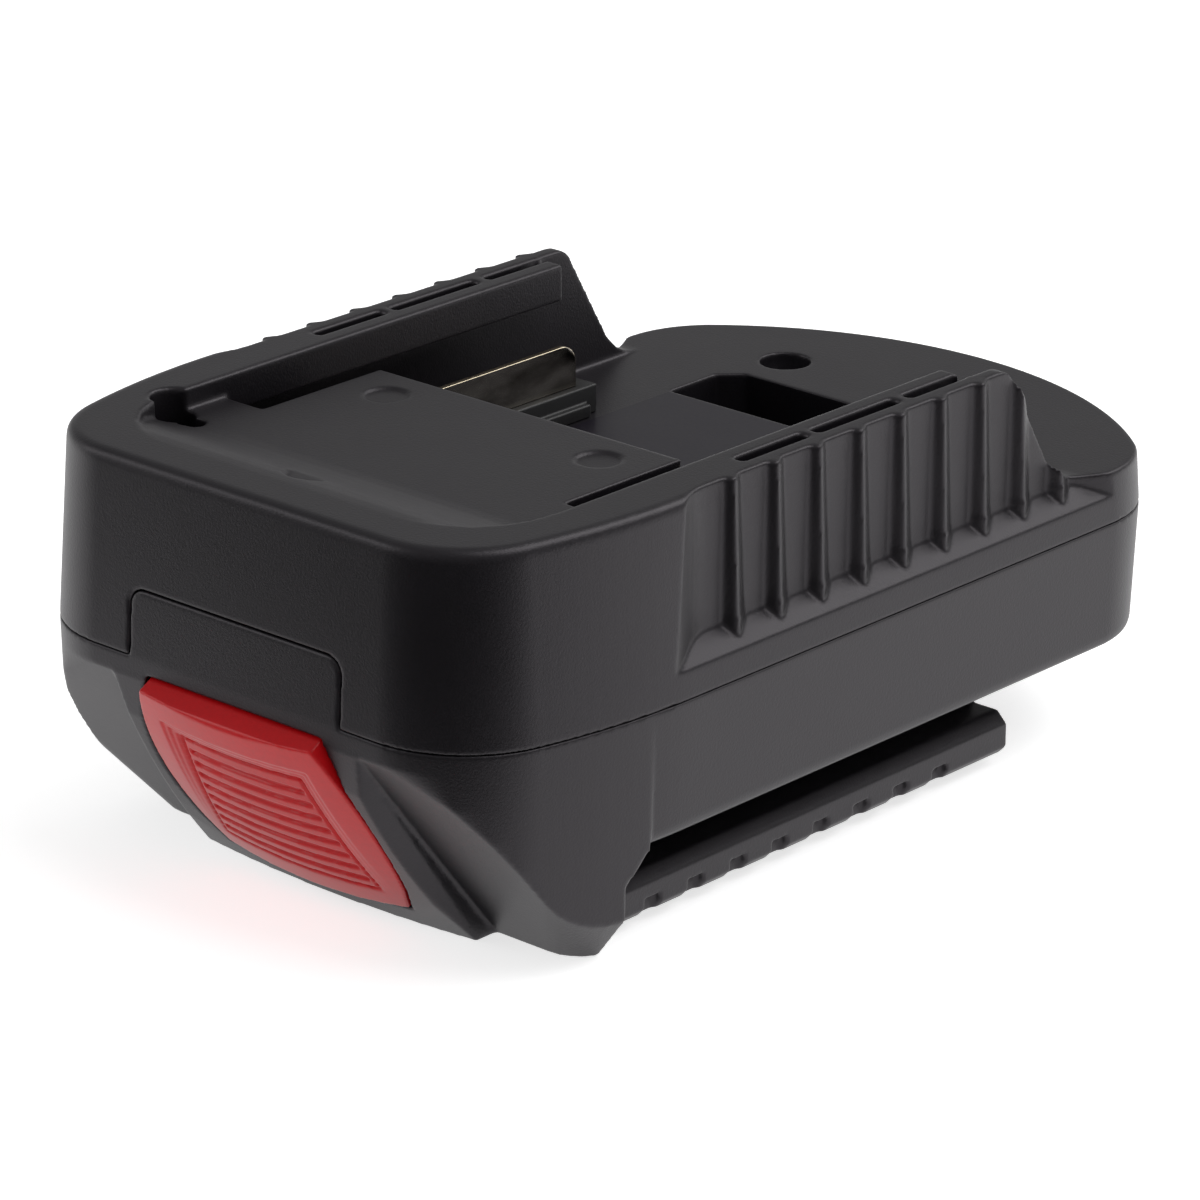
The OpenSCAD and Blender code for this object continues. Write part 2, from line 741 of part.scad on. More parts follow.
// Lower shell with the tool rails, the sloped pad and the front tongue
module lower_shell() color([0.19, 0.19, 0.2]) {
    difference() {
        union() {
            difference() {
                union() {
                    intersection() {
                        tray_form();
                        block([-half_w, foot_end_y, 0], [half_w, y_rear, parting_z]);
                    }
                    intersection() {
                        union() {
                            foot_form();
                            pad_form();
                        }
                        across(body_w) foot_profile();
                    }
                }
                lower_hollow();
            }
            both_sides() rail();
            intersection() {
                tongue_form(0);
                crown_form();
            }
            both_sides() translate([screw_span / 2, rear_screw_y, under_z + sliver])
                cylinder(d = column_d, h = parting_z - under_z - sliver);
            both_sides() translate([front_screw_x, front_screw_y, under_z + sliver])
                cylinder(d = column_d, h = parting_z - under_z - sliver);
            both_sides() for (y = [0, 1]) translate([post_x, post_y(y), under_z + sliver])
                cylinder(d = post_d, h = board_z - under_z - sliver);
        }
        pad_frame() plate(-button_proud - past, latch_y + button_travel) button_plan(slide_gap);
        block([-latch_w / 2 - slide_gap, foot_end_y - wall_t - past, wall_t],
            [latch_w / 2 + slide_gap, foot_end_y + groove_slant + past, under_z]);
        both_sides() translate([screw_span / 2, rear_screw_y, parting_z + shoulder_t - screw_l - past])
            cylinder(d = screw_d + seat_gap, h = screw_l + past);
        both_sides() translate([front_screw_x, front_screw_y, -past]) {
            cylinder(d = screw_hole_d, h = front_seat_z + past);
            cylinder(d = screw_d + 2 * seat_gap, h = parting_z + 2 * past);
        }
        both_sides() for (y = [0, 1]) translate([post_x, post_y(y), board_z - board_screw_l])
            cylinder(d = board_screw_d + seat_gap, h = board_screw_l + past);
        for (i = [-1:1]) tail_block(i, seat_gap, under_z - past, inner_floor_z + past);
    }
}

// Y of the front (0) and rear (1) board posts
function post_y(i) = board_y + post_in + i * (board_l - 2 * post_in);

// Outline of the button in the pad frame (X, up the slope), moved outward by g
module button_plan(g) {
    low = -button_top - button_l - g;
    r = button_side_r + g;
    right = concat([[0, low - button_bow], [button_foot_w / 4, low - button_bow * 3 / 4],
        [button_foot_w / 2 + g / 2, low]],
        arc(button_wide_w / 2 - button_side_r, button_wide_z, r, asin((button_corner_z - button_wide_z) / r),
            asin((button_rise + g) / r), 12));
    polygon(concat(right, [for (i = [len(right) - 1:-1:1]) [-right[i][0], right[i][1]]]));
}

// Plate of a given plan in the pad frame, between two depths
module plate(y0, y1) {
    translate([0, y1, 0]) rotate([90, 0, 0]) linear_extrude(height = y1 - y0) children();
}

// Ball whose surface is the button's face, moved by a shift in depth and up the slope
module face_ball(shift) {
    translate([0, face_y + shift[0], button_crest + shift[1]]) sphere(r = button_r, $fn = ball_fn);
}

// Plan of the thumb field, inset by d
module field_plan(d) {
    w_top = field_w_top - d;
    w_low = field_w_low - d;
    polygon([[-w_low, field_low + d], [w_low, field_low + d],
        [w_top, field_top - d], [-w_top, field_top - d]]);
}

// Red release button: a crowned plate with a sunk, grooved thumb field and a rim behind the pad
module release_button() color([0.78, 0.1, 0.12]) pad_frame() {
    out = -button_proud - past;
    difference() {
        union() {
            intersection() {
                plate(out, latch_y) button_plan(0);
                face_ball([0, 0]);
                across(2 * button_wide_w) polygon([[latch_y, -button_top],
                    [edge_y + button_edge, -button_top],
                    [edge_y, edge_z], [out, edge_z], [out, -slope_l], [latch_y, -slope_l]]);
            }
            block([-ear_w, button_root, ear_low], [ear_w, latch_y, ear_high]);
        }
        for (i = [1:field_steps]) difference() {
            plate(out, button_root) field_plan((i - field_steps) * field_step_w);
            face_ball(field_shift * i / field_steps);
        }
        difference() {
            plate(out, button_root) {
                difference() {
                    field_plan(grip_inset);
                    field_plan(grip_inset + grip_line);
                }
                intersection() {
                    field_plan(2 * grip_inset + grip_line);
                    for (i = [0:grip_count - 1])
                        translate([-button_wide_w / 2, field_top - grip_start - grip_slot - i * grip_pitch])
                            square([button_wide_w, grip_slot]);
                }
            }
            face_ball(field_shift + [grip_d, 0]);
        }
    }
}

// Latch slider behind the button, with an arm to the hook between the rails
module latch_slider() color([0.14, 0.14, 0.15]) {
    low = on_pad(latch_y, latch_low);
    web_z = latch_low + (arm_top_z - low[1]) + hook_web;
    across(latch_w) polygon([on_pad(latch_y, latch_high), low, [hook_y, low[1]], [hook_y, hook_tip_z],
        [hook_y + hook_l - hook_slant, hook_tip_z], [hook_y + hook_l, low[1]], [hook_y + hook_l, arm_top_z],
        [on_pad(latch_y + latch_t, web_z - hook_web)[0], arm_top_z],
        on_pad(latch_y + latch_t, web_z), on_pad(latch_y + latch_t, latch_high)]);
}

// Return spring on the left (-1) or right (1), its envelope as a sleeve
module latch_spring(side) color([0.75, 0.75, 0.76]) pad_frame()
    translate([side * spring_x, bracket_y, spring_z]) rotate([90, 0, 0]) difference() {
        cylinder(d = spring_d, h = spring_l);
        translate([0, 0, -past]) cylinder(d = spring_d - 2 * spring_wire, h = spring_l + 2 * past);
    }

module latch_spring_left() latch_spring(-1);
module latch_spring_right() latch_spring(1);

// Bracket that stands on the inner floor and carries the fixed spring ends on two pegs
module spring_bracket() color([0.3, 0.3, 0.32]) {
    peg_l = 3.5;
    peg_d = spring_d - 2 * spring_wire - 4 * seat_gap;
    high = on_pad(bracket_y, bracket_high);
    back = on_pad(bracket_y + bracket_t, bracket_high);
    foot = high[0] + (high[1] - inner_floor_z) * tan(pad_a);
    across(bracket_w) polygon([high, [foot, inner_floor_z], [foot + 3 * bracket_t, inner_floor_z], back]);
    pad_frame() for (s = [-1, 1]) translate([s * spring_x, bracket_y + sliver, spring_z])
        rotate([90, 0, 0]) cylinder(d = peg_d, h = peg_l);
}

// Plug of a contact carrier that passes through the channel floor, grown by g for its hole
module carrier_plug(g) {
    block([blade_span / 2 - plug_t / 2 - g, plug_y - g, floor_z - wall_t - plug_below - g],
        [blade_span / 2 + plug_t / 2 + g, plug_y + plug_l + g, floor_z + past]);
}

// Insulating carrier of one contact blade: a stepped bar on the channel floor
module contact_carrier(side) color([0.16, 0.16, 0.17]) {
    outer = blade_span / 2 + carrier_out;
    inner = blade_span / 2 - carrier_in;
    end_y = platform_y + blade_l + carrier_past;
    mirror([side < 0 ? 1 : 0, 0, 0]) difference() {
        union() {
            block([inner, platform_y + seat_gap, floor_z], [outer, end_y, floor_z + carrier_h]);
            block([inner - step_w, platform_y + seat_gap, floor_z],
                [outer, end_y - step_back, floor_z + step_h]);
            intersection() {
                carrier_plug(0);
                block([0, y_front, 0], [half_w, y_rear, floor_z + sliver]);
            }
        }
        blade_plate(seat_gap / 2);
        blade_tail(seat_gap / 2);
    }
}

module contact_carrier_left() contact_carrier(-1);
module contact_carrier_right() contact_carrier(1);

// Upright blade with a rounded rear corner, grown by g for the slot in its carrier
module blade_plate(g) {
    r = 2.4;
    low = floor_z + blade_low - g / 2;
    y0 = platform_y + blade_in;
    y1 = platform_y + blade_l;
    translate([blade_span / 2 - blade_t / 2 - g, 0, 0]) rotate([90, 0, 90])
        linear_extrude(height = blade_t + 2 * g)
        polygon(concat([[y0 - g, floor_z + blade_h], [y0 - g, low], [y1 + g, low]],
            arc(y1 + g - r, floor_z + blade_h - r, r, 0, 90, 6)));
}

// Solder tail of a blade, from the blade down to the circuit board
module blade_tail(g) {
    block([blade_span / 2 - blade_t / 2 - g, blade_tail_y - g, board_z + board_t],
        [blade_span / 2 + blade_t / 2 + g, blade_tail_y + blade_tail_l + g, floor_z + blade_low + past]);
}

module contact_blade(side) color([0.72, 0.69, 0.62]) mirror([side < 0 ? 1 : 0, 0, 0]) {
    blade_plate(0);
    blade_tail(0);
}

module contact_blade_positive() contact_blade(-1);
module contact_blade_negative() contact_blade(1);

// X of a terminal clip: -1, 0 or 1
function clip_x(i) = i * clip_span / 2;

// Front end of the clips
function clip_y() = terminal_end_y - clip_l - 3;

// Tail of a terminal clip, grown by g for the hole it passes through
module tail_block(i, g, z0, z1) {
    block([clip_x(i) - clip_t / 2 - g, clip_y() - g, z0],
        [clip_x(i) + clip_t / 2 + g, clip_y() + tail_l + g, z1]);
}

// Slotted terminal block between the rails
module terminal_block() color([0.15, 0.15, 0.16]) {
    room_w = clip_gap + 2 * clip_t + 2 * clip_room;
    z0 = clip_z - clip_room;
    difference() {
        block([-terminal_w / 2, terminal_end_y - terminal_l, terminal_low_z],
            [terminal_w / 2, terminal_end_y, under_z]);
        for (i = [-1:1]) {
            block([clip_x(i) - room_w / 2, clip_y() - clip_room, z0],
                [clip_x(i) + room_w / 2, clip_y() + clip_l + clip_room, clip_z + clip_h + clip_room]);
            block([clip_x(i) - slot_w / 2, clip_y() + clip_l, terminal_low_z - past],
                [clip_x(i) + slot_w / 2, terminal_end_y + past, clip_z + clip_h]);
            tail_block(i, seat_gap, clip_z, under_z + past);
        }
    }
}

// Fork-shaped spring clip: two leaves joined at the front, with a tail up to the board
module terminal_clip(i) color([0.74, 0.7, 0.6]) {
    w = clip_gap / 2 + clip_t;
    pinch = 0.35;
    translate([clip_x(i), clip_y(), clip_z]) linear_extrude(height = clip_h) difference() {
        polygon([[-w, 0], [w, 0], [w, clip_l * 0.35], [w - pinch, clip_l * 0.8], [w, clip_l], [-w, clip_l],
            [pinch - w, clip_l * 0.8], [-w, clip_l * 0.35]]);
        polygon([[-w + clip_t, clip_t], [w - clip_t, clip_t], [w - clip_t, clip_l * 0.35],
            [w - clip_t - pinch, clip_l * 0.8], [w - clip_t, clip_l + past], [clip_t - w, clip_l + past],
            [clip_t + pinch - w, clip_l * 0.8], [clip_t - w, clip_l * 0.35]]);
    }
    tail_block(i, 0, clip_z + clip_h - sliver, board_z);
    block([clip_x(i) - clip_t / 2, clip_y(), clip_z],
        [clip_x(i) + clip_t / 2, clip_y() + clip_t, clip_z + clip_h]);
}

module terminal_clip_positive() terminal_clip(-1);
module terminal_clip_negative() terminal_clip(1);
module terminal_clip_signal() terminal_clip(0);

// Circuit board on four posts
module circuit_board() color([0.1, 0.35, 0.18]) difference() {
    block([-board_w / 2, board_y, board_z], [board_w / 2, board_y + board_l, board_z + board_t]);
    both_sides() for (y = [0, 1]) translate([post_x, post_y(y), board_z - past])
        cylinder(d = board_hole_d, h = board_t + 2 * past);
}

// Two flat power transistors side by side
module protection_transistors() color([0.12, 0.12, 0.12])
    for (i = [0, 1]) translate([transistor_x - transistor_pitch * i, board_y + transistor_y, part_z])
        cube(transistor_size);

// Standing electrolytic capacitor
module smoothing_capacitor() color([0.2, 0.22, 0.3])
    translate([can_x, board_y + can_y, part_z]) cylinder(d = can_d, h = can_h);

// Flat overload fuse
module overload_fuse() color([0.85, 0.75, 0.3]) translate([fuse_x, board_y + fuse_y, part_z]) cube(fuse_size);

// Coding resistor that tells the tool which pack is fitted
module coding_resistor() color([0.75, 0.65, 0.5])
    translate([resistor_x, board_y + resistor_y, part_z + resistor_flat]) rotate([0, 90, 0]) intersection() {
        cylinder(d = resistor_d, h = resistor_l);
        block([-resistor_flat, -resistor_d, -past], [resistor_flat, resistor_d, resistor_l + past]);
    }

// Pan-head screw with its seat at z = 0, shank downwards
module pan_screw(d, head, h, l) {
    cross_l = 0.56 * head;
    cross_w = 0.12 * head;
    cross_z = 0.45 * h;
    translate([0, 0, -l]) cylinder(d = d, h = l);
    difference() {
        cylinder(d = head, h = h);
        for (a = [0, 90]) rotate([0, 0, a]) translate([-cross_l / 2, -cross_w / 2, cross_z])
            cube([cross_l, cross_w, h]);
    }
}

// Four screws that hold the circuit board
module board_screws() color([0.7, 0.7, 0.72])
    both_sides() for (y = [0, 1]) translate([post_x, post_y(y), board_z + board_t])
        pan_screw(board_screw_d, board_head_d, board_head_h, board_screw_l);

// Four screws that hold the shells: two down the rear holes, two up from between the rails
module housing_screws() color([0.6, 0.6, 0.62]) {
    both_sides() translate([screw_span / 2, rear_screw_y, parting_z + shoulder_t])
        pan_screw(screw_d, screw_head_d, head_h, screw_l);
    both_sides() translate([front_screw_x, front_screw_y, front_seat_z]) rotate([180, 0, 0])
        pan_screw(screw_d, screw_head_d, head_h, screw_l);
}

// Bare label on the channel floor
module rating_label() color([0.1, 0.1, 0.12]) {
    label_w = blade_span - 2 * (carrier_in + step_w) - 2 * label_gap;
    block([-label_w / 2, platform_y + label_gap, floor_z],
        [label_w / 2, y_rear - pocket_back - pocket_l - label_gap, floor_z + label_t]);
}

upper_shell();
lower_shell();
release_button();
latch_slider();
latch_spring_left();
latch_spring_right();
spring_bracket();
contact_carrier_left();
contact_carrier_right();
contact_blade_positive();
contact_blade_negative();
terminal_block();
terminal_clip_positive();
terminal_clip_negative();
terminal_clip_signal();
circuit_board();
protection_transistors();
smoothing_capacitor();
overload_fuse();
coding_resistor();
board_screws();
housing_screws();
rating_label();
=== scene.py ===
"""Looks of a tool battery adapter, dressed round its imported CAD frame.

Everything is in metres in the CAD's frame: +Z up, -Y towards the release button.
Sizes of the real object are written in millimetres and multiplied by MM.
"""

import json
import logging
import math
from dataclasses import dataclass
from enum import Enum
from typing import Any

import bmesh
import bpy
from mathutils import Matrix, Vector

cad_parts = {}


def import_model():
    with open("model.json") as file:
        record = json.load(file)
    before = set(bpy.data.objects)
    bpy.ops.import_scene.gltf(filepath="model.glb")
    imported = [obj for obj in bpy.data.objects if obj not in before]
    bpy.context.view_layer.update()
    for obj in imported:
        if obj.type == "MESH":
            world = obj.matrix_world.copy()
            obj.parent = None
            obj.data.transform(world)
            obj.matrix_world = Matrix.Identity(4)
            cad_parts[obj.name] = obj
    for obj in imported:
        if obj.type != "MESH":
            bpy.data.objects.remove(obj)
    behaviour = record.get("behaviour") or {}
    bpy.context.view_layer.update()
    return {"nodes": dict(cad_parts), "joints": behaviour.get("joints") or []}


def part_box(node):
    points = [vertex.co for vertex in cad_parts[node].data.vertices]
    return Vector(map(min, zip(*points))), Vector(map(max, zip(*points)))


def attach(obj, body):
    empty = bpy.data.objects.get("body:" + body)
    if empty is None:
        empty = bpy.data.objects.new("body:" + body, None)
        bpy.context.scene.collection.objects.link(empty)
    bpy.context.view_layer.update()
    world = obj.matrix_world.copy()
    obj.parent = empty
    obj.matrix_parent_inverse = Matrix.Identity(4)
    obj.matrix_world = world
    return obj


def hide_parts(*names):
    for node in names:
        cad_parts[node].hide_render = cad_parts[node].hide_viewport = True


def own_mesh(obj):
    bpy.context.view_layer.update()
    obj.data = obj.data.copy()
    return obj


FRAME: dict[str, Any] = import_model()
LOG = logging.getLogger("battery_adapter")
MM = 0.001

# How the CAD meshes are joined and rounded
WELD_DISTANCE = 0.001 * MM
BEVEL_SEGMENTS = 2
BEVEL_FROM = math.radians(30)
SMOOTH_FACTOR = 0.5

Colour = tuple[float, float, float, float]
Piece = bpy.types.Object


class Body(Enum):
    """The two CAD bodies that a piece can ride on."""

    HOUSING = "housing"
    LATCH = "release_latch"


class Edge(Enum):
    """How far moulding rounds the edges of a piece: voxel in mm and smoothing passes."""

    SHELL = (0.26, 4)
    BUTTON = (0.16, 8)


def linear(hex_colour: str) -> Colour:
    """Turn an sRGB hex colour into linear RGBA.

    Args:
        hex_colour: Six hex digits, with or without a leading hash.

    Returns:
        The linear colour with an alpha of 1.
    """
    digits = hex_colour.lstrip("#")
    channels = [int(digits[i : i + 2], 16) / 255 for i in (0, 2, 4)]
    r, g, b = (c / 12.92 if c <= 0.04045 else ((c + 0.055) / 1.055) ** 2.4 for c in channels)
    return (r, g, b, 1.0)


def shaded(hex_colour: str, factor: float) -> Colour:
    """Return a hex colour in linear RGBA, made lighter or darker by a factor."""
    r, g, b, a = linear(hex_colour)
    return (r * factor, g * factor, b * factor, a)


def per_metre(size_mm: float) -> float:
    """Return the texture scale of a pattern whose features are size_mm wide."""
    return 1 / (size_mm * MM)


def add(
    tree: bpy.types.NodeTree,
    kind: str,
    settings: dict[str | int, Any] | None = None,
    links: dict[str | int, bpy.types.NodeSocket] | None = None,
) -> bpy.types.Node:
    """Add a node with its settings and links.

    Args:
        tree: The tree that gets the node.
        kind: The node's type, such as "ShaderNodeBump".
        settings: Values by input name or number, or by attribute name.
        links: Output sockets by the input that they feed.

    Returns:
        The new node.
    """
    node = tree.nodes.new(kind)
    for key, value in (settings or {}).items():
        if isinstance(key, str) and hasattr(node, key):
            setattr(node, key, value)
        else:
            node.inputs[key].default_value = value
    for key, socket in (links or {}).items():
        tree.links.new(socket, node.inputs[key])
    return node


def new_material(name: str) -> tuple[bpy.types.Material, bpy.types.NodeTree]:
    """Make an empty node material.

    Args:
        name: The material's name.

    Returns:
        The material and its cleared node tree.
    """
    material = bpy.data.materials.new(name)
    material.use_nodes = True
    material.node_tree.nodes.clear()
    return material, material.node_tree


def close_surface(tree: bpy.types.NodeTree, shader: bpy.types.Node) -> None:
    """Link a shader node to the material's output."""
    add(tree, "ShaderNodeOutputMaterial", links={"Surface": shader.outputs[0]})


def set_ramp(
    ramp: bpy.types.Node, positions: tuple[float, float], colours: tuple[Colour, Colour]
) -> None:
    """Set the two stops of a colour ramp."""
    for element, position, colour in zip(ramp.color_ramp.elements, positions, colours):
        element.position = position
        element.color = colour


@dataclass(frozen=True)
class MouldedPlastic:
    """Injection-moulded plastic: a matt skin with the fine pitted grain of a spark-eroded mould.

    The grain of a real mould is near 0.1 mm and wouldn't show at this size, so it is drawn coarser.
    """

    name: str
    colour: str
    roughness: float
    grain_mm: float = 0.28
    grain_depth_mm: float = 0.02
    mottle: float = 0.12
    gloss: float = 0.5
    cloud_mm: float = 14
    grain_share: float = 0.5
    rough_swing: float = 0.06
    glint: str = "#ffffff"
    grain_detail: float = 2.0
    cloud_detail: float = 3.0
    noise_roughness: float = 0.6
    mottle_ramp: tuple[float, float] = (0.35, 0.65)
    index: float = 1.5

    def material(self) -> bpy.types.Material:
        """Build the plastic's material.

        Returns:
            The node material.
        """
        material, tree = new_material(self.name)
        place = add(tree, "ShaderNodeTexCoord").outputs["Object"]
        grain = add(
            tree,
            "ShaderNodeTexNoise",
            {
                "Scale": per_metre(self.grain_mm),
                "Detail": self.grain_detail,
                "Roughness": self.noise_roughness,
            },
            {"Vector": place},
        )
        cloud = add(
            tree,
            "ShaderNodeTexNoise",
            {
                "Scale": per_metre(self.cloud_mm),
                "Detail": self.cloud_detail,
                "Roughness": self.noise_roughness,
            },
            {"Vector": place},
        )
        both = add(
            tree,
            "ShaderNodeMix",
            {"data_type": "FLOAT", 0: self.grain_share},
            {2: cloud.outputs[0], 3: grain.outputs[0]},
        )
        dark, light = (shaded(self.colour, 1 + side * self.mottle) for side in (-1, 1))
        ramp = add(tree, "ShaderNodeValToRGB", links={0: both.outputs[0]})
        set_ramp(ramp, self.mottle_ramp, (dark, light))
        rough = add(
            tree,
            "ShaderNodeMapRange",
            {
                "To Min": self.roughness - self.rough_swing,
                "To Max": self.roughness + self.rough_swing,
            },
            {"Value": both.outputs[0]},
        )
        bump = add(
            tree,
            "ShaderNodeBump",
            {"Strength": 1.0, "Distance": self.grain_depth_mm * MM},
            {"Height": grain.outputs[0]},
        )
        shader = add(
            tree,
            "ShaderNodeBsdfPrincipled",
            {
                "IOR": self.index,
                "Specular IOR Level": self.gloss,
                "Specular Tint": linear(self.glint),
            },
            {
                "Base Color": ramp.outputs[0],
                "Roughness": rough.outputs[0],
                "Normal": bump.outputs[0],
            },
        )
        close_surface(tree, shader)
        return material


@dataclass(frozen=True)
class BareMetal:
    """Bare or plated metal: rolled or drawn, with fine streaks along Y and blotches of a darker
    colour. The blotches are faint tarnish, and on the contact blades also painted reflections.
    """

    name: str
    colour: str
    tarnish_and_reflection: str
    roughness: float
    # Colour of the sheared edges: warmer base metal, drawn pale so it also serves as a painted
    # highlight
    sheared_and_highlight: str = ""
    streak_mm: float = 0.12
    streak_stretch: float = 0.06
    streak_detail: float = 2.0
    streak_depth_mm: float = 0.004
    streak_strength: float = 0.3
    blotch_mm: float = 2.5
    blotch_stretch: float = 0.4
    blotch_detail: float = 4.0
    blotch_swirl: float = 0.3
    blotch_ramp: tuple[float, float] = (0.3, 0.7)
    smoother: float = 0.08
    rougher: float = 0.1
    face_from: float = 0.97
    edge_from: float = 0.75

    def material(self) -> bpy.types.Material:
        """Build the metal's material.

        Returns:
            The node material.
        """
        material, tree = new_material(self.name)
        place = add(tree, "ShaderNodeTexCoord").outputs["Object"]
        along, drawn = (
            add(tree, "ShaderNodeMapping", {"Scale": (1.0, stretch, 1.0)}, {"Vector": place})
            for stretch in (self.streak_stretch, self.blotch_stretch)
        )
        streak = add(
            tree,
            "ShaderNodeTexNoise",
            {"Scale": per_metre(self.streak_mm), "Detail": self.streak_detail},
            {"Vector": along.outputs[0]},
        )
        blotch = add(
            tree,
            "ShaderNodeTexNoise",
            {
                "Scale": per_metre(self.blotch_mm),
                "Detail": self.blotch_detail,
                "Distortion": self.blotch_swirl,
            },
            {"Vector": drawn.outputs[0]},
        )
        # Blotches of the darker colour: tarnish, and on the contact blades painted dark reflections
        ramp = add(tree, "ShaderNodeValToRGB", links={0: blotch.outputs[0]})
        set_ramp(ramp, self.blotch_ramp, (linear(self.tarnish_and_reflection), linear(self.colour)))
        colour = ramp.outputs[0]
        # Faces turned away from X get the edge colour: base metal plus a painted highlight
        if self.sheared_and_highlight:
            colour = self.highlit_cut_edges(tree, colour)
        rough = add(
            tree,
            "ShaderNodeMapRange",
            {"To Min": self.roughness - self.smoother, "To Max": self.roughness + self.rougher},
            {"Value": blotch.outputs[0]},
        )
        bump = add(
            tree,
            "ShaderNodeBump",
            {"Strength": self.streak_strength, "Distance": self.streak_depth_mm * MM},
            {"Height": streak.outputs[0]},
        )
        shader = add(
            tree,
            "ShaderNodeBsdfPrincipled",
            {"Metallic": 1.0},
            {"Base Color": colour, "Roughness": rough.outputs[0], "Normal": bump.outputs[0]},
        )
        close_surface(tree, shader)
        return material

    def highlit_cut_edges(
        self, tree: bpy.types.NodeTree, colour: bpy.types.NodeSocket
    ) -> bpy.types.NodeSocket:
        """Paint the warmer base metal on the sheared edges of a strip that lies across the X axis,
        pale enough to serve as a painted highlight along those edges.

        Args:
            tree: The material's tree.
            colour: The colour of the plated faces.

        Returns:
            The colour of faces and edges.
        """
        facing = add(tree, "ShaderNodeTexCoord").outputs["Normal"]
        x = add(tree, "ShaderNodeSeparateXYZ", links={0: facing}).outputs["X"]
        flat = add(tree, "ShaderNodeMath", {"operation": "ABSOLUTE"}, {0: x})
        edge = add(
            tree,
            "ShaderNodeMapRange",
            {"From Min": self.face_from, "From Max": self.edge_from},
            {"Value": flat.outputs[0]},
        )
        mix = add(
            tree,
            "ShaderNodeMix",
            {"data_type": "RGBA", 7: linear(self.sheared_and_highlight)},
            {0: edge.outputs[0], 6: colour},
        )
        return mix.outputs[2]


# Near-black and matt, with a pitted sparkle where light grazes it and a faintly violet sheen
SHELL_NYLON = MouldedPlastic(
    "Glass-filled nylon, spark-eroded mould",
    "#110f13",
    0.42,
    grain_depth_mm=0.028,
    mottle=0.2,
    glint="#fff8ff",
)
# Even, saturated red with a soft satin highlight along its rounded edges
BUTTON_ABS = MouldedPlastic(
    "Red ABS, polished mould",
    "#d80a14",
    0.34,
    grain_mm=0.5,
    grain_depth_mm=0.006,
    mottle=0.06,
    gloss=0.42,
)
# Slightly greyer and smoother black than the shells, so inner pieces stand apart from them
INNER_NYLON = MouldedPlastic(
    "Black nylon, plain mould", "#1c1c1d", 0.46, grain_mm=0.4, grain_depth_mm=0.01
)
# Flat violet-black patch with hardly any grain, which tells the film from the floor under it
LABEL_FILM = MouldedPlastic(
    "Polyester label film",
    "#16111c",
    0.34,
    grain_mm=0.6,
    grain_depth_mm=0.003,
    mottle=0.05,
    gloss=0.2,
)
# Dark mirror with drawn-out clouds of painted reflection and tarnish on its faces, and a bright,
# warm line along its edges: warmer base metal made pale as a painted highlight
NICKEL_BRASS = BareMetal("Nickel-plated brass, rolled", "#b8b3aa", "#6a655e", 0.16, "#f4e4c4")
# Pale and warm with a dull shine
SPRING_BRONZE = BareMetal("Tin-plated spring bronze", "#cfc6b4", "#a79c88", 0.3)
# Cool grey wire with a clear glint on each turn
SPRING_WIRE = BareMetal("Drawn spring steel wire", "#b4b5b8", "#8d8e92", 0.28)
# Cool grey screw heads with a blunt shine
ZINC_STEEL = BareMetal("Zinc-plated steel", "#a9abae", "#7d7f84", 0.35)
# Glossy green
SOLDER_MASK = MouldedPlastic(
    "Glass-epoxy board with solder mask", "#0f5a2c", 0.35, grain_mm=0.5, grain_depth_mm=0.008
)
# Dull, dusty black
EPOXY = MouldedPlastic("Moulded component epoxy", "#1a1a1b", 0.55)
# Smooth, shiny dark blue
SLEEVE = MouldedPlastic("Shrink sleeve on aluminium", "#1d2338", 0.32, grain_depth_mm=0.004)
# Smooth amber
FUSE_BODY = MouldedPlastic("Amber polymer fuse body", "#c8a13a", 0.4, grain_depth_mm=0.006)
# Smooth beige
LACQUER = MouldedPlastic("Beige resistor lacquer", "#c2a679", 0.4, grain_depth_mm=0.006)


def put(name: str, mesh: bpy.types.Mesh, body: Body) -> Piece:
    """Put a mesh into the scene as a piece that rides on a body.

    Args:
        name: The piece's name.
        mesh: Its mesh, in the row frame.
        body: The CAD body that it moves with.

    Returns:
        The new object.
    """
    piece = bpy.data.objects.new(name, mesh)
    bpy.context.scene.collection.objects.link(piece)
    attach(piece, body.value)
    LOG.info("built %s with %d faces", name, len(mesh.polygons))
    return piece


def welded(node: Piece) -> bpy.types.Mesh:
    """Return a copy of a CAD node's mesh with its split corners joined."""
    made = bmesh.new()
    made.from_mesh(node.data)
    bmesh.ops.remove_doubles(made, verts=made.verts, dist=WELD_DISTANCE)
    mesh = bpy.data.meshes.new(node.name)
    made.to_mesh(mesh)
    made.free()
    return mesh


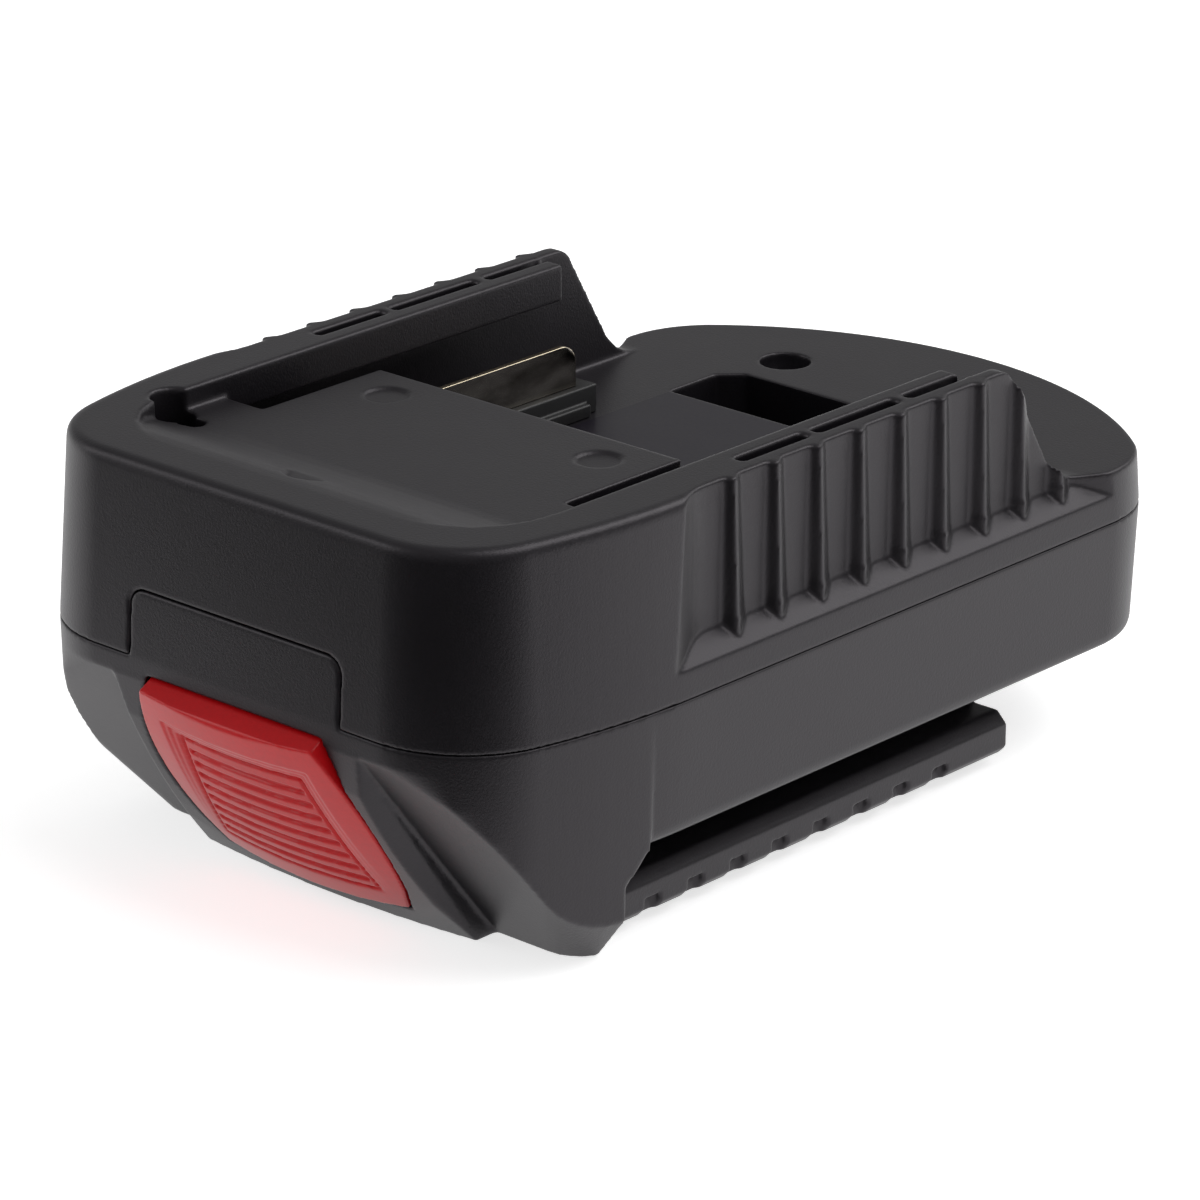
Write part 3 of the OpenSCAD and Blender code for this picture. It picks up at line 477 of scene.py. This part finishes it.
def moulded(
    node: Piece,
    body: Body,
    edge: Edge,
    keep: float,
    finish: MouldedPlastic,
    cutter: Piece | None = None,
) -> Piece:
    """Replace a CAD node by a copy with softly rounded moulded edges.

    Args:
        node: The CAD node.
        body: The CAD body that it belongs to.
        edge: How far its edges are rounded.
        keep: Share of the faces that is kept once flat areas are thinned out.
        finish: The plastic that it is moulded from.
        cutter: A form that is taken out of it first, and is used up.

    Returns:
        The rounded piece.
    """
    voxel_mm, passes = edge.value
    rough = bpy.data.objects.new(node.name, welded(node))
    bpy.context.scene.collection.objects.link(rough)
    if cutter:
        cut = rough.modifiers.new("cut", "BOOLEAN")
        cut.operation = "DIFFERENCE"
        cut.solver = "EXACT"
        cut.object = cutter
    remesh = rough.modifiers.new("skin", "REMESH")
    remesh.mode = "VOXEL"
    remesh.voxel_size = voxel_mm * MM
    smooth = rough.modifiers.new("round", "SMOOTH")
    smooth.factor = SMOOTH_FACTOR
    smooth.iterations = passes
    thin = rough.modifiers.new("thin", "DECIMATE")
    thin.ratio = keep
    graph = bpy.context.evaluated_depsgraph_get()
    mesh = bpy.data.meshes.new_from_object(rough.evaluated_get(graph))
    bpy.data.objects.remove(rough)
    if cutter:
        bpy.data.objects.remove(cutter)
    mesh.shade_smooth()
    mesh.materials.clear()
    mesh.materials.append(finish.material())
    piece = put(node.name + "_moulded", mesh, body)
    piece.modifiers.new("flats", "WEIGHTED_NORMAL").keep_sharp = False
    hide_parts(node.name)
    return piece


def lofted(name: str, rows: list[list[list[Vector]]]) -> bpy.types.Mesh:
    """Skin one closed solid over each row of rings.

    Args:
        name: The mesh's name.
        rows: For each solid, its rings of points, all with the same count.

    Returns:
        The mesh with all the solids.
    """
    made = bmesh.new()
    for row in rows:
        rings = [[made.verts.new(point) for point in ring] for ring in row]
        for one, two in zip(rings, rings[1:]):
            for k in range(len(one)):
                n = (k + 1) % len(one)
                made.faces.new((one[k], two[k], two[n], one[n]))
        made.faces.new(rings[0])
        made.faces.new(rings[-1][::-1])
    bmesh.ops.recalc_face_normals(made, faces=made.faces)
    mesh = bpy.data.meshes.new(name)
    made.to_mesh(mesh)
    made.free()
    return mesh


def dressed(node: Piece, bevel_mm: float, finish: MouldedPlastic | BareMetal) -> None:
    """Give a CAD node its finish and a fine bevel on its edges.

    Args:
        node: The CAD node.
        bevel_mm: Width of the bevel.
        finish: Its finish.
    """
    node.data.materials.clear()
    node.data.materials.append(finish.material())
    node.modifiers.new("weld", "WELD").merge_threshold = WELD_DISTANCE
    bevel = node.modifiers.new("edges", "BEVEL")
    bevel.width = bevel_mm * MM
    bevel.segments = BEVEL_SEGMENTS
    bevel.limit_method = "ANGLE"
    bevel.angle_limit = BEVEL_FROM
    node.modifiers.new("flats", "WEIGHTED_NORMAL").keep_sharp = False
    LOG.info("dressed %s", node.name)


@dataclass
class SideLedge:
    """The sloped ledge below the ribs of each side, cut into the edge of the deck; sizes in mm.

    The wall's place is a hair outside the CAD wall, so that the cut leaves the wall alone. A rib's
    plan is given as places along the side and heights above the wall.
    """

    wall_x: float = 34.62
    side_x: float = 37.5
    foot_z: float = 31.0
    rise: float = 2.4
    top_z: float = 34.4
    start_y: float = -35.46
    blend_in: float = 9.5
    stop_y: float = 35.44
    blend_out: float = 8.0
    rib_y: float = -23.26
    rib_pitch: float = 7.0
    rib_count: int = 9
    rib_plan: tuple[tuple[float, float], ...] = (
        (0, 0),
        (0.72, 1.38),
        (0.9, 1.6),
        (1.62, 1.38),
        (3.8, 0),
    )
    step: float = 0.2
    past: float = 1.0

    def rib(self, y: float) -> float:
        """Return how far a rib stands out from the wall at a place along the side."""
        along = (y - self.rib_y) % self.rib_pitch
        if not 0 <= y - self.rib_y < self.rib_count * self.rib_pitch:
            return 0.0
        for (y0, h0), (y1, h1) in zip(self.rib_plan, self.rib_plan[1:]):
            if y0 <= along < y1:
                return h0 + (h1 - h0) * (along - y0) / (y1 - y0)
        return 0.0

    def inner(self, y: float) -> float:
        """Return how far in the ledge reaches at a place along the side."""
        into = (y - self.start_y) / self.blend_in
        out = (self.stop_y + self.blend_out - y) / self.blend_out
        ease = (1 - math.cos(math.pi * min(into, out, 1.0))) / 2
        return max(self.side_x + (self.wall_x - self.side_x) * ease, self.wall_x + self.rib(y))

    def slope(self, x: float) -> float:
        """Return the height of the ledge at a distance from the middle."""
        return self.foot_z + self.rise * (self.side_x - x) / (self.side_x - self.wall_x)

    def cutter(self) -> Piece:
        """Make the form that lies above both ledges.

        Returns:
            The form as a helper object, which moulded() uses up.
        """
        outer = self.side_x + self.past
        steps = round((self.stop_y + self.blend_out - self.start_y) / self.step)
        rows = []
        for side in (-1, 1):
            row = []
            for i in range(steps + 1):
                y = self.start_y + i * self.step
                x = self.inner(y)
                ring = (
                    (x, self.slope(x)),
                    (outer, self.slope(outer)),
                    (outer, self.top_z),
                    (x, self.top_z),
                )
                row.append([Vector((side * a * MM, y * MM, z * MM)) for a, z in ring])
            rows.append(row)
        mesh = lofted("ledge_cutter", rows)
        cutter = bpy.data.objects.new("ledge_cutter", mesh)
        bpy.context.scene.collection.objects.link(cutter)
        return cutter


@dataclass
class Shells:
    """The upper and lower housing shells."""

    upper_keep: float = 0.2
    lower_keep: float = 0.2

    def build(self) -> None:
        """Mould both shells."""
        upper, lower = (FRAME["nodes"][name] for name in ("upper_shell", "lower_shell"))
        ledges = SideLedge().cutter()
        moulded(upper, Body.HOUSING, Edge.SHELL, self.upper_keep, SHELL_NYLON, ledges)
        moulded(lower, Body.HOUSING, Edge.SHELL, self.lower_keep, SHELL_NYLON)


@dataclass
class ReleaseLatch:
    """The red button, the latch slider, the return springs and their bracket."""

    turns: float = 7.0
    wire_mm: float = 0.8
    steps_per_turn: int = 28
    wire_sides: int = 10
    travel_mm: float = 4.0
    button_keep: float = 0.2
    bevel_mm: float = 0.3

    def build(self) -> None:
        """Mould the button, wind the springs and dress the slider and bracket."""
        button = FRAME["nodes"]["release_button"]
        moulded(button, Body.LATCH, Edge.BUTTON, self.button_keep, BUTTON_ABS)
        for name in ("latch_slider", "spring_bracket"):
            dressed(FRAME["nodes"][name], self.bevel_mm, INNER_NYLON)
        for name in ("latch_spring_left", "latch_spring_right"):
            self.wind(name)

    def wind(self, name: str) -> None:
        """Wind a compression spring in the place of its CAD node.

        Args:
            name: The spring's CAD node.
        """
        joint = next(j for j in FRAME["joints"] if j["name"] == "release_slide")
        axis = Vector(joint["axis"]).normalized()
        low, high = (Vector(corner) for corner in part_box(name))
        middle = (low + high) / 2
        outer = (high.x - low.x) / 2
        half = ((high.z - low.z) / 2 - outer * abs(axis.y)) / abs(axis.z)
        wire = self.wire_mm * MM / 2
        side = Vector((1, 0, 0))
        across = axis.cross(side)
        rings = []
        steps = round(self.turns * self.steps_per_turn)
        for i in range(steps + 1):
            share = i / steps
            turn = share * self.turns * 2 * math.pi
            out = side * math.cos(turn) + across * math.sin(turn)
            centre = middle + axis * ((share * 2 - 1) * (half - wire)) + out * (outer - wire)
            ring = []
            for k in range(self.wire_sides):
                a = k / self.wire_sides * 2 * math.pi
                ring.append(centre + (out * math.cos(a) + axis * math.sin(a)) * wire)
            rings.append(ring)
        mesh = lofted(name, [rings])
        mesh.shade_smooth()
        mesh.materials.append(SPRING_WIRE.material())
        piece = put(name + "_coil", mesh, Body.HOUSING)
        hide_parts(name)
        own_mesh(piece)


@dataclass
class Contacts:
    """The battery blades in their carriers and the tool's terminal clips in their block."""

    blade_bevel_mm: float = 0.34
    holder_bevel_mm: float = 0.25
    clip_bevel_mm: float = 0.08

    def build(self) -> None:
        """Dress the contacts and what holds them."""
        for name in ("contact_blade_positive", "contact_blade_negative"):
            dressed(FRAME["nodes"][name], self.blade_bevel_mm, NICKEL_BRASS)
        for name in ("contact_carrier_left", "contact_carrier_right", "terminal_block"):
            dressed(FRAME["nodes"][name], self.holder_bevel_mm, INNER_NYLON)
        for name in ("terminal_clip_positive", "terminal_clip_negative", "terminal_clip_signal"):
            dressed(FRAME["nodes"][name], self.clip_bevel_mm, SPRING_BRONZE)


@dataclass
class Electronics:
    """The circuit board and what it carries, sealed inside the housing."""

    bevel_mm: float = 0.2

    def build(self) -> None:
        """Dress the board and its components."""
        finishes = {
            "circuit_board": SOLDER_MASK,
            "protection_transistors": EPOXY,
            "smoothing_capacitor": SLEEVE,
            "overload_fuse": FUSE_BODY,
            "coding_resistor": LACQUER,
        }
        for name, finish in finishes.items():
            dressed(FRAME["nodes"][name], self.bevel_mm, finish)


@dataclass
class Fasteners:
    """The screws and the label."""

    screw_bevel_mm: float = 0.15
    label_bevel_mm: float = 0.03

    def build(self) -> None:
        """Dress the screws and the label."""
        for name in ("board_screws", "housing_screws"):
            dressed(FRAME["nodes"][name], self.screw_bevel_mm, ZINC_STEEL)
        dressed(FRAME["nodes"]["rating_label"], self.label_bevel_mm, LABEL_FILM)


@dataclass(frozen=True)
class SoftBox:
    """A square studio soft box that faces the object."""

    name: str
    azimuth: float
    elevation: float
    distance: float
    size: float
    power: float

    def hang(self) -> None:
        """Make the lamp and turn it to the object."""
        lamp = bpy.data.lights.new(self.name, "AREA")
        lamp.shape = "SQUARE"
        lamp.size = self.size
        lamp.energy = self.power
        holder = bpy.data.objects.new(self.name, lamp)
        away = towards(self.azimuth, self.elevation)
        holder.location = away * self.distance
        holder.rotation_mode = "QUATERNION"
        holder.rotation_quaternion = (-away).to_track_quat("-Z", "Y")
        bpy.context.scene.collection.objects.link(holder)


def combined(
    tree: bpy.types.NodeTree, operation: str, one: bpy.types.NodeSocket, two: bpy.types.NodeSocket
) -> bpy.types.NodeSocket:
    """Return the socket of a maths node that works on two others."""
    return add(tree, "ShaderNodeMath", {"operation": operation}, {0: one, 1: two}).outputs[0]


def mirrored(tree: bpy.types.NodeTree) -> bpy.types.NodeSocket:
    """Return a socket that is 1 for glossy and transmission rays."""
    path = add(tree, "ShaderNodeLightPath").outputs
    return combined(tree, "MAXIMUM", path["Is Glossy Ray"], path["Is Transmission Ray"])


def towards(azimuth: float, elevation: float) -> Vector:
    """Return the direction at an azimuth from the front, counted to the right, and an elevation."""
    a, e = math.radians(azimuth), math.radians(elevation)
    return Vector((math.sin(a) * math.cos(e), -math.cos(a) * math.cos(e), math.sin(e)))


@dataclass
class Studio:
    """A pale floor, soft studio light and the camera; places in metres, angles in degrees."""

    azimuth: float = 42.29
    elevation: float = 20.9
    distance: float = 0.6275
    lens_mm: float = 170.4
    sensor_mm: float = 36.0
    aside: float = 0.01048
    behind_front: float = 0.0465
    tongue_h: float = 0.0077
    floor_half: float = 6.0
    floor_glow: float = 0.7
    world_light: float = 0.28
    backdrop_top: float = -0.3
    backdrop_fade: float = 0.5
    behind_from: float = -0.5
    behind_full: float = 0.3
    # Where the painted dark patch lies on the floor; reflections show it as painted shade
    shade_patch_azimuth: float = 20.0
    shade_patch_from: float = 0.065
    shade_patch_full: float = 0.125
    boxes: tuple[SoftBox, ...] = (
        SoftBox("right_box", 112, 60, 1.2, 0.8, 5.0),
        SoftBox("left_box", -50, 27, 1.3, 0.6, 2.2),
        SoftBox("back_box", 164, 44, 1.2, 0.7, 3.9),
    )

    def build(self) -> None:
        """Make the floor, the lights, the world and the camera."""
        self.lay_floor()
        for box in self.boxes:
            box.hang()
        self.light_world()
        self.place_camera()

    def lay_floor(self) -> None:
        """Lay a large matt white floor that looks white where the light on it falls short, with a
        painted dark patch before the object that only reflections see.
        """
        half = self.floor_half
        mesh = bpy.data.meshes.new("floor")
        corners = [(-half, -half, 0), (half, -half, 0), (half, half, 0), (-half, half, 0)]
        mesh.from_pydata(corners, [], [(0, 1, 2, 3)])
        material, tree = new_material("Matt white studio floor")
        path = add(tree, "ShaderNodeLightPath").outputs
        matt = add(tree, "ShaderNodeBsdfDiffuse", {"Color": linear("#f2f2f2")})
        shown = combined(tree, "MAXIMUM", path["Is Camera Ray"], mirrored(tree))
        lift = add(
            tree,
            "ShaderNodeMapRange",
            {"To Min": 0.0, "To Max": self.floor_glow},
            {"Value": shown},
        )
        glow = add(
            tree,
            "ShaderNodeEmission",
            {"Color": linear("#ffffff")},
            {"Strength": lift.outputs[0]},
        )
        white = add(tree, "ShaderNodeAddShader", links={0: matt.outputs[0], 1: glow.outputs[0]})
        # A painted dark patch lies on the floor before the object and shows only in its gloss, as
        # painted shade that draws its black corner.
        place = add(tree, "ShaderNodeTexCoord").outputs["Object"]
        ahead = add(
            tree,
            "ShaderNodeVectorMath",
            {"operation": "DOT_PRODUCT", 1: tuple(towards(self.shade_patch_azimuth, 0))},
            {0: place},
        )
        shade_patch = add(
            tree,
            "ShaderNodeMapRange",
            {
                "interpolation_type": "SMOOTHSTEP",
                "From Min": self.shade_patch_from,
                "From Max": self.shade_patch_full,
            },
            {"Value": ahead.outputs["Value"]},
        )
        dark = combined(tree, "MULTIPLY", shade_patch.outputs[0], path["Is Glossy Ray"])
        black = add(tree, "ShaderNodeBsdfDiffuse", {"Color": linear("#101010")})
        ground = add(
            tree,
            "ShaderNodeMixShader",
            links={0: dark, 1: white.outputs[0], 2: black.outputs[0]},
        )
        close_surface(tree, ground)
        mesh.materials.append(material)
        floor = bpy.data.objects.new("floor", mesh)
        bpy.context.scene.collection.objects.link(floor)

    def light_world(self) -> None:
        """Make a dim pale world behind a white backdrop, which the camera and reflections see."""
        world = bpy.data.worlds.new("Pale studio")
        world.use_nodes = True
        tree = world.node_tree
        tree.nodes.clear()
        path = add(tree, "ShaderNodeLightPath").outputs
        way = add(tree, "ShaderNodeTexCoord").outputs["Generated"]
        height = add(tree, "ShaderNodeSeparateXYZ", links={0: way}).outputs["Z"]
        backdrop = add(
            tree,
            "ShaderNodeMapRange",
            {
                "interpolation_type": "SMOOTHSTEP",
                "From Min": self.backdrop_fade,
                "From Max": self.backdrop_top,
            },
            {"Value": height},
        )
        beyond = add(
            tree,
            "ShaderNodeVectorMath",
            {"operation": "DOT_PRODUCT", 1: tuple(-towards(self.azimuth, 0))},
            {0: way},
        )
        behind = add(
            tree,
            "ShaderNodeMapRange",
            {
                "interpolation_type": "SMOOTHSTEP",
                "From Min": self.behind_from,
                "From Max": self.behind_full,
            },
            {"Value": beyond.outputs["Value"]},
        )
        sheet = combined(tree, "MULTIPLY", backdrop.outputs[0], behind.outputs[0])
        shown = combined(tree, "MULTIPLY", sheet, mirrored(tree))
        white = combined(tree, "MAXIMUM", path["Is Camera Ray"], shown)
        strength = add(
            tree,
            "ShaderNodeMapRange",
            {"To Min": self.world_light, "To Max": 1.0},
            {"Value": white},
        )
        light = add(
            tree,
            "ShaderNodeBackground",
            {"Color": linear("#ffffff")},
            {"Strength": strength.outputs[0]},
        )
        add(tree, "ShaderNodeOutputWorld", links={"Surface": light.outputs[0]})
        bpy.context.scene.world = world

    def place_camera(self) -> None:
        """Place the camera at the photograph's viewing angle."""
        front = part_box("upper_shell")[0][1]
        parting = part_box("lower_shell")[1][2] - self.tongue_h
        back = towards(self.azimuth, self.elevation)
        lens = bpy.data.cameras.new("camera")
        lens.lens = self.lens_mm
        lens.sensor_width = self.sensor_mm
        holder = bpy.data.objects.new("camera", lens)
        aim = Vector((self.aside, front + self.behind_front, parting))
        holder.location = aim + back * self.distance
        holder.rotation_mode = "QUATERNION"
        holder.rotation_quaternion = (-back).to_track_quat("-Z", "Y")
        bpy.context.scene.collection.objects.link(holder)
        bpy.context.scene.camera = holder


def main() -> None:
    """Build every sub-assembly, then the studio."""
    logging.basicConfig(level=logging.INFO, format="%(name)s: %(message)s")
    bpy.context.scene.view_settings.view_transform = "Standard"
    for assembly in (Shells(), ReleaseLatch(), Contacts(), Electronics(), Fasteners(), Studio()):
        assembly.build()


if __name__ == "__main__":
    main()
